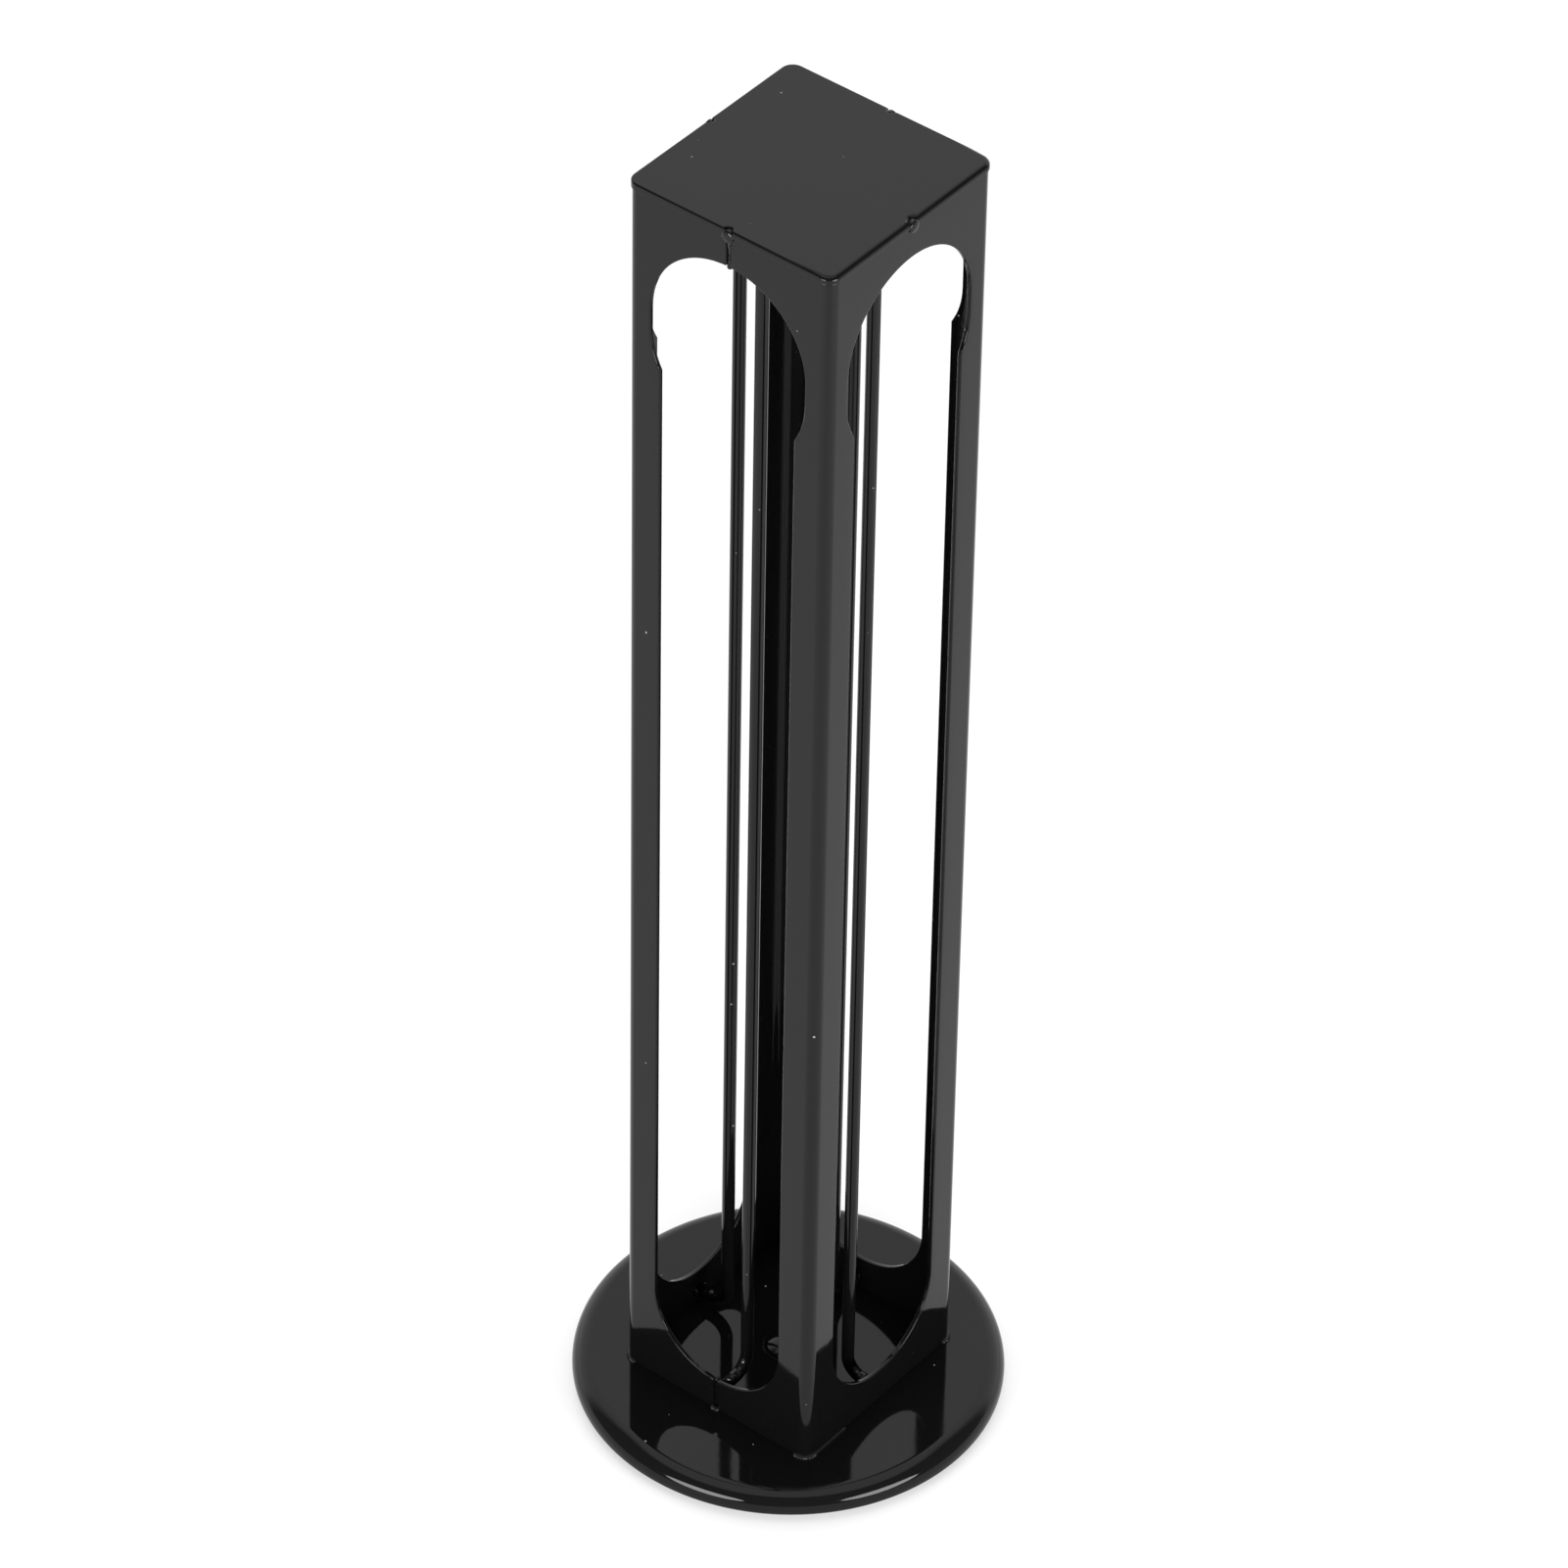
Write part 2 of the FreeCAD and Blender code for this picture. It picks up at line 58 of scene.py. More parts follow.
def arc(centre, radius, start, end, steps):
    """Points along an arc in the (radius, height) plane, angles in degrees."""
    angles = [math.radians(start + (end - start) * i / steps) for i in range(steps + 1)]
    return [(centre[0] + radius * math.cos(a), centre[1] + radius * math.sin(a)) for a in angles]


def turned(name, outline, turns=192):
    """A piece turned about Z. The outline runs anticlockwise, radius to the right and height up; it
    starts and ends on the axis, or else it closes on itself."""
    shell = bmesh.new()
    rings = []
    for radius, height in outline:
        count = turns if radius > 1e-7 else 1
        angles = [2 * math.pi * i / count for i in range(count)]
        places = [(radius * math.cos(a), radius * math.sin(a), height) for a in angles]
        rings.append([shell.verts.new(place) for place in places])
    solid = len(rings[0]) == 1
    pairs = list(zip(rings, rings[1:])) if solid else list(zip(rings, rings[1:] + rings[:1]))
    for lower, upper in pairs:
        for i in range(turns):
            corners = [lower[i % len(lower)], lower[(i + 1) % len(lower)]]
            corners += [upper[(i + 1) % len(upper)], upper[i % len(upper)]]
            shell.faces.new(list(dict.fromkeys(corners)))
    return piece_of(name, shell)


def piece_of(name, shell):
    """Puts a finished bmesh into the scene as one smooth-shaded piece."""
    mesh = bpy.data.meshes.new(name)
    for face in shell.faces:
        face.smooth = True
    shell.to_mesh(mesh)
    shell.free()
    piece = bpy.data.objects.new(name, mesh)
    bpy.context.scene.collection.objects.link(piece)
    return piece


def add_node(tree, kind, inputs=None, **settings):
    """Adds a node, sets its properties, and fills its inputs with numbers or with other nodes."""
    node = tree.nodes.new(kind)
    for name, value in settings.items():
        setattr(node, name, value)
    for socket, value in (inputs or {}).items():
        if isinstance(value, bpy.types.Node):
            value = next(output for output in value.outputs if output.enabled)
        if isinstance(value, bpy.types.NodeSocket):
            tree.links.new(value, node.inputs[socket])
        else:
            node.inputs[socket].default_value = value
    return node


def new_tree(name, **inputs):
    """An empty Geometry Nodes tree that takes geometry, named sizes and a material."""
    tree = bpy.data.node_groups.new(name, "GeometryNodeTree")
    tree.interface.new_socket("Geometry", in_out="INPUT", socket_type="NodeSocketGeometry")
    tree.interface.new_socket("Geometry", in_out="OUTPUT", socket_type="NodeSocketGeometry")
    for label, kind in inputs.items():
        tree.interface.new_socket(label, in_out="INPUT", socket_type=f"NodeSocket{kind}")
    tree.interface.new_socket("Material", in_out="INPUT", socket_type="NodeSocketMaterial")
    return tree, add_node(tree, "NodeGroupInput").outputs


def close_tree(tree, geometry, material):
    """Ends a tree: everything in it is made real, smooth and painted."""
    real = add_node(tree, "GeometryNodeRealizeInstances", {"Geometry": geometry})
    smooth = add_node(tree, "GeometryNodeSetShadeSmooth", {"Geometry": real})
    painted = add_node(tree, "GeometryNodeSetMaterial", {"Geometry": smooth, "Material": material})
    add_node(tree, "NodeGroupOutput", {"Geometry": painted})


def grow(piece, tree, **values):
    """Gives a piece a Geometry Nodes tree with these sizes."""
    modifier = piece.modifiers.new(tree.name, "NODES")
    modifier.node_group = tree
    for socket in tree.interface.items_tree:
        if socket.in_out == "INPUT" and socket.name in values:
            modifier[socket.identifier] = values[socket.name]


def settle(piece, material):
    """Turns what the modifiers make into the piece's own plain mesh, with flat faces kept flat."""
    piece.modifiers.new("flats", "WEIGHTED_NORMAL")
    evaluated = piece.evaluated_get(bpy.context.evaluated_depsgraph_get())
    piece.data = bpy.data.meshes.new_from_object(evaluated)
    piece.modifiers.clear()
    piece.data.materials.clear()
    piece.data.materials.append(material)


def colour(code):
    """A linear colour from an sRGB hex code such as #1A1A1A."""
    shares = [int(code[i : i + 2], 16) / 255 for i in (1, 3, 5)]
    return (*(s / 12.92 if s <= 0.04045 else ((s + 0.055) / 1.055) ** 2.4 for s in shares), 1)


def new_material(name, **finish):
    """A material with one Principled shader, whose plain values are set on its own sockets."""
    material = bpy.data.materials.new(name)
    material.use_nodes = True
    tree = material.node_tree
    shader = tree.nodes["Principled BSDF"]
    for socket, value in finish.items():
        shader.inputs[socket.replace("_", " ")].default_value = value
    place = add_node(tree, "ShaderNodeTexCoord").outputs["Object"]
    return material, tree, shader, place


# Moulded rubber: matt, with a fine grain from the mould that breaks up the light.
RUBBER_GRAIN = 0.4 * MM
rubber, tree, shader, place = new_material("moulded_rubber", IOR=1.52, Roughness=0.8)
shader.inputs["Base Color"].default_value = colour("#232322")
grain = add_node(tree, "ShaderNodeTexNoise", {"Vector": place, "Scale": 1 / RUBBER_GRAIN, "Detail": 3})
rough = add_node(tree, "ShaderNodeMapRange", {0: grain, 1: 0.3, 2: 0.7, 3: 0.68, 4: 0.88})
bump = add_node(tree, "ShaderNodeBump", {"Height": grain, "Distance": 0.03 * MM, "Strength": 0.8})
tree.links.new(rough.outputs[0], shader.inputs["Roughness"])
tree.links.new(bump.outputs[0], shader.inputs["Normal"])

# The ring tree sets copies of a piece round the tower's axis.
set_round, given = new_tree("set_round", Count="Int", Radius="Float", Start="Float")
circle = add_node(
    set_round, "GeometryNodeMeshCircle", {"Vertices": given["Count"], "Radius": given["Radius"]}
)
spin = add_node(set_round, "ShaderNodeCombineXYZ", {"Z": given["Start"]})
aimed = add_node(set_round, "GeometryNodeTransform", {"Geometry": circle, "Rotation": spin})
step = add_node(set_round, "ShaderNodeMath", {0: math.tau, 1: given["Count"]}, operation="DIVIDE")
index = add_node(set_round, "GeometryNodeInputIndex")
angle = add_node(
    set_round, "ShaderNodeMath", {0: index, 1: step, 2: given["Start"]}, operation="MULTIPLY_ADD"
)
facing = add_node(set_round, "ShaderNodeCombineXYZ", {"Z": angle})
copies = add_node(
    set_round,
    "GeometryNodeInstanceOnPoints",
    {"Points": aimed, "Instance": given["Geometry"], "Rotation": facing},
)
close_tree(set_round, copies, given["Material"])

foot_low, foot_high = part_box("rubber_foot_1")
plate_low, plate_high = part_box("foot_plate")
FOOT_COUNT = 4
FOOT_EDGE = 0.6 * MM
FOOT_CROWN = 0.12 * MM
STEM_RADIUS = 2.5 * MM
BULB_RADIUS = 3.8 * MM
foot_radius = (foot_high.x - foot_low.x) / 2
foot_centre = (foot_high.x + foot_low.x) / 2
foot_outline = [
    (0, FOOT_CROWN),
    (foot_radius * 0.4, FOOT_CROWN * 0.3),
    (foot_radius - FOOT_EDGE * 2, 0),
    *arc((foot_radius - FOOT_EDGE, FOOT_EDGE), FOOT_EDGE, -90, 0, 6),
    *arc((foot_radius - FOOT_EDGE / 2, plate_low.z - FOOT_EDGE / 2), FOOT_EDGE / 2, 0, 90, 4),
    (STEM_RADIUS, plate_low.z),
    (STEM_RADIUS, plate_high.z),
    (BULB_RADIUS, plate_high.z),
    *arc((BULB_RADIUS - FOOT_EDGE / 2, plate_high.z + FOOT_EDGE / 2), FOOT_EDGE / 2, 0, 40, 3),
    *arc((STEM_RADIUS - FOOT_EDGE, foot_high.z - FOOT_EDGE), FOOT_EDGE, 40, 90, 4),
    (0, foot_high.z),
]
rubber_feet = turned("rubber_feet", foot_outline, 64)
grow(
    rubber_feet,
    set_round,
    Count=FOOT_COUNT,
    Radius=foot_centre * math.sqrt(2),
    Start=math.pi / FOOT_COUNT,
    Material=rubber,
)
settle(rubber_feet, rubber)
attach(rubber_feet, "base")
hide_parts(*(f"rubber_foot_{k}" for k in range(1, FOOT_COUNT + 1)))

# ---------------------------------------------------------------- foot plate
# The still half of the swivel: a round plate blanked from 1.2 mm steel, zinc plated, with the
# lower ball track pressed into its top. The rubber feet carry it.
EDGE_BREAK = 0.2 * MM
BALL_CIRCLE = 30 * MM
TRACK_RADIUS = 2.05 * MM

# Zinc plating: a cool bright metal with a fine spangle and faint turning marks, so its gloss varies.
SPANGLE = 3.5 * MM
MARK_PITCH = 0.35 * MM
zinc, tree, shader, place = new_material("zinc_plated_steel", Metallic=1.0)
cells = add_node(tree, "ShaderNodeTexVoronoi", {"Vector": place, "Scale": 1 / SPANGLE})
cell_tone = add_node(tree, "ShaderNodeSeparateColor", {"Color": cells.outputs["Color"]})
zinc_colour = add_node(
    tree,
    "ShaderNodeMix",
    {0: cell_tone, 6: colour("#A9ADB0"), 7: colour("#C3C6C8")},
    data_type="RGBA",
)
gloss = add_node(tree, "ShaderNodeMapRange", {0: cell_tone, 3: 0.26, 4: 0.4})
flat_place = add_node(tree, "ShaderNodeSeparateXYZ", {0: place})
planar = add_node(tree, "ShaderNodeCombineXYZ", {0: flat_place.outputs[0], 1: flat_place.outputs[1]})
from_axis = add_node(tree, "ShaderNodeVectorMath", {0: planar}, operation="LENGTH")
turns_in = add_node(
    tree,
    "ShaderNodeMath",
    {0: from_axis.outputs["Value"], 1: math.tau / MARK_PITCH},
    operation="MULTIPLY",
)
marks = add_node(tree, "ShaderNodeMath", {0: turns_in}, operation="SINE")
bump = add_node(tree, "ShaderNodeBump", {"Height": marks, "Distance": 0.002 * MM, "Strength": 0.5})
for socket, source in (("Base Color", zinc_colour.outputs[2]), ("Roughness", gloss.outputs[0])):
    tree.links.new(source, shader.inputs[socket])
tree.links.new(bump.outputs[0], shader.inputs["Normal"])


def washer_outline(inner, outer, low, high, edge=EDGE_BREAK, steps=3):
    """The section of a flat ring with broken edges."""
    return [
        *arc((outer - edge, low + edge), edge, -90, 0, steps),
        *arc((outer - edge, high - edge), edge, 0, 90, steps),
        *arc((inner + edge, high - edge), edge, 90, 180, steps),
        *arc((inner + edge, low + edge), edge, 180, 270, steps),
    ]


ball_low, ball_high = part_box("bearing_balls")
ball_height = (ball_low.z + ball_high.z) / 2
PIVOT_RADIUS = 3 * MM
plate_outline = washer_outline(PIVOT_RADIUS, plate_high.x, plate_low.z, plate_high.z)
dip = math.degrees(math.acos((ball_height - plate_high.z) / TRACK_RADIUS))
track = arc((BALL_CIRCLE, ball_height), TRACK_RADIUS, dip - 90, -90 - dip, 10)
foot_plate = turned("foot_plate_pressing", [*plate_outline[:8], *track, *plate_outline[8:]])
settle(foot_plate, zinc)
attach(foot_plate, "base")
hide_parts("foot_plate")

# ---------------------------------------------------------------- balls and their cage
# Sixteen 4 mm steel balls run in the track, held apart by a flat ring moulded in nylon with a
# round window for each ball.
BALL_COUNT = 16
MOULD_EDGE = 0.15 * MM

# Bearing steel: through-hardened and polished, so it is nearly a mirror with a thin oil haze.
OIL_PATCH = 1.5 * MM
bearing_steel, tree, shader, place = new_material("polished_bearing_steel", Metallic=1.0)
shader.inputs["Base Color"].default_value = colour("#C9CBCD")
haze = add_node(tree, "ShaderNodeTexNoise", {"Vector": place, "Scale": 1 / OIL_PATCH, "Detail": 2})
gloss = add_node(tree, "ShaderNodeMapRange", {0: haze, 1: 0.35, 2: 0.65, 3: 0.06, 4: 0.16})
tree.links.new(gloss.outputs[0], shader.inputs["Roughness"])

# Moulded nylon: off-white and slightly waxy, with a soft satin from the mould.
FLOW_MARK = 6 * MM
nylon, tree, shader, place = new_material("moulded_nylon", IOR=1.53)
flow = add_node(tree, "ShaderNodeTexNoise", {"Vector": place, "Scale": 1 / FLOW_MARK, "Detail": 4})
nylon_colour = add_node(
    tree, "ShaderNodeMix", {0: flow, 6: colour("#D8D3C2"), 7: colour("#E5E1D4")}, data_type="RGBA"
)
gloss = add_node(tree, "ShaderNodeMapRange", {0: flow, 1: 0.3, 2: 0.7, 3: 0.36, 4: 0.5})
bump = add_node(tree, "ShaderNodeBump", {"Height": flow, "Distance": 0.02 * MM, "Strength": 0.5})
tree.links.new(nylon_colour.outputs[2], shader.inputs["Base Color"])
tree.links.new(gloss.outputs[0], shader.inputs["Roughness"])
tree.links.new(bump.outputs[0], shader.inputs["Normal"])

ball_radius = (ball_high.z - ball_low.z) / 2
ball_path = arc((0, ball_height), ball_radius, -90, 90, 16)
ball_path[0] = (0, ball_low.z)
ball_path[-1] = (0, ball_high.z)
balls = turned("bearing_ball_set", ball_path, 32)
grow(balls, set_round, Count=BALL_COUNT, Radius=BALL_CIRCLE, Start=0.0, Material=bearing_steel)
settle(balls, bearing_steel)
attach(balls, "cage")
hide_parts("bearing_balls")

cage_low, cage_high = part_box("ball_cage")
cage_half_width = cage_high.x - BALL_CIRCLE


def cage_sector():
    """One sixteenth of the cage: a stretch of the ring with the window's round hole in it."""
    shell = bmesh.new()
    sides = 32
    half_angle = math.pi / BALL_COUNT
    window = TRACK_RADIUS
    layers = []
    for height in (cage_low.z, cage_high.z):
        hole, border = [], []
        for i in range(sides):
            a = 2 * math.pi * i / sides
            reach = 1 / max(abs(math.cos(a)), abs(math.sin(a)))
            radius = BALL_CIRCLE + cage_half_width * math.cos(a) * reach
            sweep = half_angle * math.sin(a) * reach
            hole.append(shell.verts.new((window * math.cos(a), window * math.sin(a), height)))
            x = radius * math.cos(sweep) - BALL_CIRCLE
            border.append(shell.verts.new((x, radius * math.sin(sweep), height)))
        layers.append((hole, border))
    (low_hole, low_border), (high_hole, high_border) = layers
    for i in range(sides):
        k = (i + 1) % sides
        shell.faces.new((high_hole[i], high_border[i], high_border[k], high_hole[k]))
        shell.faces.new((low_hole[k], low_border[k], low_border[i], low_hole[i]))
        shell.faces.new((low_hole[k], low_hole[i], high_hole[i], high_hole[k]))
        middle = abs(math.sin(2 * math.pi * (i + 0.5) / sides))
        if middle < math.sin(math.pi / 4):
            shell.faces.new((low_border[i], low_border[k], high_border[k], high_border[i]))
    return piece_of("ball_cage_moulding", shell)


cage = cage_sector()
grow(cage, set_round, Count=BALL_COUNT, Radius=BALL_CIRCLE, Start=0.0, Material=nylon)
weld = cage.modifiers.new("join_sectors", "WELD")
weld.merge_threshold = 0.005 * MM
soft_edge = cage.modifiers.new("mould_edge", "BEVEL")
soft_edge.width = MOULD_EDGE
soft_edge.segments = 2
soft_edge.angle_limit = math.radians(50)
settle(cage, nylon)
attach(cage, "cage")
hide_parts("ball_cage")

# ---------------------------------------------------------------- upper race
# The turning half of the swivel: a zinc-plated steel ring with the upper ball track pressed into
# its underside, bonded up against the base disc.
race_low, race_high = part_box("upper_race")
RACE_INNER = 21 * MM
race_outline = washer_outline(RACE_INNER, race_high.x, race_low.z, race_high.z)
track = arc((BALL_CIRCLE, ball_height), TRACK_RADIUS, 90 + dip, 90 - dip, 10)
upper_race = turned("upper_race_pressing", [*race_outline, *track])
settle(upper_race, zinc)
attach(upper_race, "carousel")
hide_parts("upper_race")

# ---------------------------------------------------------------- base disc
# A shallow round tray, drawn from 1.5 mm sheet steel, with a rolled-over rim. It is enamelled
# black together with everything that is welded to it.
DISC_GAUGE = 1.5 * MM
DISC_ROUND = 6 * MM
PIVOT_BORE = 3.05 * MM

# Stoved gloss enamel on steel: near black, a clear sharp reflection over a faint orange peel, with
# wiped patches of slightly softer gloss and a few settled specks of dust.
PEEL = 2.2 * MM
PULL = 24 * MM
WIPE = 38 * MM
DUST_SPACING = 7 * MM
DUST_SIZE = 0.36 * MM
enamel, tree, shader, place = new_material("stoved_gloss_enamel", IOR=1.29)
peel = add_node(tree, "ShaderNodeTexNoise", {"Vector": place, "Scale": 1 / PEEL, "Detail": 1})
pull = add_node(tree, "ShaderNodeTexNoise", {"Vector": place, "Scale": 1 / PULL, "Detail": 0})
wipe = add_node(tree, "ShaderNodeTexNoise", {"Vector": place, "Scale": 1 / WIPE, "Detail": 3})
grit = add_node(tree, "ShaderNodeTexVoronoi", {"Vector": place, "Scale": 1 / DUST_SPACING})
grit_size = add_node(tree, "ShaderNodeSeparateColor", {"Color": grit.outputs["Color"]})
reach = add_node(
    tree, "ShaderNodeMath", {0: grit_size, 1: DUST_SIZE / DUST_SPACING}, operation="MULTIPLY"
)
dust = add_node(tree, "ShaderNodeMath", {0: grit, 1: reach}, operation="LESS_THAN")
coat_colour = add_node(
    tree, "ShaderNodeMix", {0: dust, 6: colour("#0C0C0C"), 7: colour("#8D8C88")}, data_type="RGBA"
)
gloss = add_node(tree, "ShaderNodeMapRange", {0: wipe, 1: 0.35, 2: 0.7, 3: 0.035, 4: 0.075})
dulled = add_node(tree, "ShaderNodeMath", {0: gloss, 1: dust}, operation="MAXIMUM")
sag = add_node(tree, "ShaderNodeBump", {"Height": pull, "Distance": 0.05 * MM, "Strength": 1})
skin = add_node(
    tree, "ShaderNodeBump", {"Height": peel, "Distance": 0.004 * MM, "Strength": 1, "Normal": sag}
)
tree.links.new(coat_colour.outputs[2], shader.inputs["Base Color"])
tree.links.new(dulled.outputs[0], shader.inputs["Roughness"])
tree.links.new(skin.outputs[0], shader.inputs["Normal"])

disc_low, disc_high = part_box("base_disc")
rim = disc_high.x
disc_top = disc_high.z
crown = (rim - DISC_ROUND, disc_top - DISC_ROUND)
lip = (rim - DISC_GAUGE / 2, disc_low.z + DISC_GAUGE / 2)
disc_outline = [
    (PIVOT_BORE, disc_top - DISC_GAUGE),
    *arc(crown, DISC_ROUND - DISC_GAUGE, 90, 0, 12),
    *arc(lip, DISC_GAUGE / 2, -180, 0, 8),
    *arc(crown, DISC_ROUND, 0, 90, 24),
    (PIVOT_BORE, disc_top),
]
base_disc = turned("base_disc_tray", disc_outline, 288)
settle(base_disc, enamel)
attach(base_disc, "carousel")
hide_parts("base_disc")

# ---------------------------------------------------------------- pivot rivet and washers
# A solid steel rivet holds the two halves of the swivel together. It is closed over a washer on
# each side, and its domed head stands inside the column.
head_low, head_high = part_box("head_washer")
tail_low, tail_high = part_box("tail_washer")
rivet_low, rivet_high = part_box("pivot_rivet")
WASHER_EDGE = 0.12 * MM
head_section = washer_outline(PIVOT_BORE, head_high.x, head_low.z, head_high.z, WASHER_EDGE)
head_washer = turned("head_washer_ring", head_section, 96)
settle(head_washer, enamel)
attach(head_washer, "carousel")
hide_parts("head_washer")
tail_section = washer_outline(PIVOT_RADIUS, tail_high.x, tail_low.z, tail_high.z, WASHER_EDGE)
tail_washer = turned("tail_washer_ring", tail_section, 96)
settle(tail_washer, zinc)
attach(tail_washer, "base")
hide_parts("tail_washer")

RIVET_TAIL = 5.5 * MM
TAIL_TOP = 2.4 * MM
HEAD_UNDERSIDE = 10.65 * MM
HEAD_HEIGHT = 2 * MM
head_radius = rivet_high.x
dome_radius = (head_radius**2 + HEAD_HEIGHT**2) / (2 * HEAD_HEIGHT)
dome_start = math.degrees(math.asin((dome_radius - HEAD_HEIGHT) / dome_radius))
dome = arc((0, rivet_high.z - dome_radius), dome_radius, dome_start, 90, 14)
dome[-1] = (0, rivet_high.z)
rivet_outline = [
    (0, rivet_low.z),
    (RIVET_TAIL - EDGE_BREAK * 2, rivet_low.z),
    *arc((RIVET_TAIL - EDGE_BREAK, rivet_low.z + EDGE_BREAK), EDGE_BREAK, -90, 0, 4),
    (RIVET_TAIL, TAIL_TOP),
    (PIVOT_RADIUS, TAIL_TOP),
    (PIVOT_RADIUS, HEAD_UNDERSIDE),
    (head_radius - EDGE_BREAK / 2, HEAD_UNDERSIDE),
    *dome,
]
rivet = turned("pivot_rivet_closed", rivet_outline, 96)
settle(rivet, enamel)
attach(rivet, "base")
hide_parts("pivot_rivet")

# ---------------------------------------------------------------- column
# One sheet of 1.5 mm steel, laser cut with four keyhole slots and folded square. Its two edges meet
# with a gap down the middle of the -Y wall, and every cut edge is lightly broken.
column_low, column_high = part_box("column_shell")
SHEET = 1.5 * MM
BEND = 3.6 * MM
SEAM_GAP = 1.6 * MM
CUT_EDGE = 0.4 * MM
BEND_FACETS = 12
SLOT_HALF = 24 * MM
SLOT_SILL = 12 * MM
ENTRY_RADIUS = 27.5 * MM
ENTRY_STRAIGHT = 7.4 * MM
ENTRY_LINTEL = 10.5 * MM
half_side = column_high.x
flat = half_side - BEND
bend_step = 2 * BEND * math.sin(math.pi / 4 / BEND_FACETS)
pitch = 2 * flat + BEND_FACETS * bend_step
sill_centre = column_low.z + SLOT_SILL + SLOT_HALF
entry_upper = column_high.z - ENTRY_LINTEL - ENTRY_RADIUS
entry_lower = entry_upper - ENTRY_STRAIGHT


def half_keyhole(start):
    """Points up one side of a keyhole, from start off its middle line. Each is paired with the
    point that it faces on the border of the wall's flat stretch."""
    pairs = []
    sill_corner = math.atan2(column_low.z - sill_centre, flat)
    first = -math.acos(start / SLOT_HALF)
    reach = (column_low.z - sill_centre) / math.tan(first)
    for i in range(13):
        a = first + (sill_corner - first) * i / 12
        across = (column_low.z - sill_centre) / math.tan(a)
        border = start + (flat - start) * (across - reach) / (flat - reach)
        cut = (SLOT_HALF * math.cos(a), sill_centre + SLOT_HALF * math.sin(a))
        pairs.append((cut, (border, column_low.z)))
    for i in range(1, 13):
        a = sill_corner * (1 - i / 12)
        cut = (SLOT_HALF * math.cos(a), sill_centre + SLOT_HALF * math.sin(a))
        pairs.append((cut, (flat, sill_centre + flat * math.tan(a))))
    shoulder_angle = math.acos(SLOT_HALF / ENTRY_RADIUS)
    shoulder = entry_lower - ENTRY_RADIUS * math.sin(shoulder_angle)
    rows = 12
    for i in range(1, rows + 1):
        height = sill_centre + (shoulder - sill_centre) * i / rows
        pairs.append(((SLOT_HALF, height), (flat, height)))
    for i in range(1, 9):
        a = -shoulder_angle * (1 - i / 8)
        height = entry_lower + ENTRY_RADIUS * math.sin(a)
        pairs.append(((ENTRY_RADIUS * math.cos(a), height), (flat, height)))
    top_corner = math.atan2(column_high.z - entry_upper, flat)
    last = math.acos(start / ENTRY_RADIUS)
    reach = (column_high.z - entry_upper) / math.tan(last)
    for i in range(13):
        a = top_corner * i / 12
        cut = (ENTRY_RADIUS * math.cos(a), entry_upper + ENTRY_RADIUS * math.sin(a))
        pairs.append((cut, (flat, entry_upper + flat * math.tan(a))))
    for i in range(1, 13):
        a = top_corner + (last - top_corner) * i / 12
        across = (column_high.z - entry_upper) / math.tan(a)
        border = start + (flat - start) * (across - reach) / (flat - reach)
        cut = (ENTRY_RADIUS * math.cos(a), entry_upper + ENTRY_RADIUS * math.sin(a))
        pairs.append((cut, (border, column_high.z)))
    return pairs


blank = bmesh.new()


def lay(grid):
    """Adds a grid of quads to the flat blank, each facing -Y."""
    rows = [[blank.verts.new((u, 0, z)) for u, z in row] for row in grid]
    for near, far in zip(rows, rows[1:]):
        for i in range(len(near) - 1):
            face = blank.faces.new((near[i], near[i + 1], far[i + 1], far[i]))
            face.normal_update()
            if face.normal.y > 0:
                face.normal_flip()


ACROSS = (0, 0.35, 1)
for wall in range(4):
    for side in (-1, 1):
        pairs = half_keyhole(SEAM_GAP / 2 if wall == 0 else 0)
        middle = 4 * pitch if (wall == 0 and side < 0) else wall * pitch
        grid = []
        for share in ACROSS:
            row = []
            for (cut_x, cut_z), (border_x, border_z) in pairs:
                x = cut_x + (border_x - cut_x) * share
                row.append((middle + side * x, cut_z + (border_z - cut_z) * share))
            grid.append(row)
        lay(grid)
    heights = [border[1] for _, border in pairs if abs(border[0] - flat) < 1e-9]
    edge = wall * pitch + flat
    lay([[(edge + bend_step * i, z) for z in heights] for i in range(BEND_FACETS + 1)])
bmesh.ops.remove_doubles(blank, verts=blank.verts, dist=0.001 * MM)
column = piece_of("column_sheet", blank)

# The folding tree lays the flat blank along a rounded square, starting from the seam.
fold, given = new_tree("fold_square", Side="Float", Bend="Float", Facets="Int", Seam="Float")
square = add_node(
    fold, "GeometryNodeCurvePrimitiveQuadrilateral", {"Width": given["Side"], "Height": given["Side"]}
)
rounded = add_node(
    fold,
    "GeometryNodeFilletCurve",
    {"Curve": square, "Count": given["Facets"], "Radius": given["Bend"]},
    mode="POLY",
)
spot = add_node(fold, "GeometryNodeInputPosition")
along = add_node(fold, "ShaderNodeSeparateXYZ", {0: spot})
from_start = add_node(fold, "ShaderNodeMath", {0: along.outputs[0], 1: given["Seam"]}, operation="ADD")
length = add_node(fold, "GeometryNodeCurveLength", {0: rounded})
wrapped = add_node(
    fold, "ShaderNodeMath", {0: from_start, 1: length}, operation="FLOORED_MODULO"
)
bent = add_node(
    fold, "GeometryNodeSampleCurve", {"Curves": rounded, "Length": wrapped}, mode="LENGTH"
)
lifted = add_node(fold, "ShaderNodeCombineXYZ", {"Z": along.outputs[2]})
folded_place = add_node(fold, "ShaderNodeVectorMath", {0: bent.outputs["Position"], 1: lifted})
folded = add_node(
    fold, "GeometryNodeSetPosition", {"Geometry": given["Geometry"], "Position": folded_place}
)
close_tree(fold, folded, given["Material"])
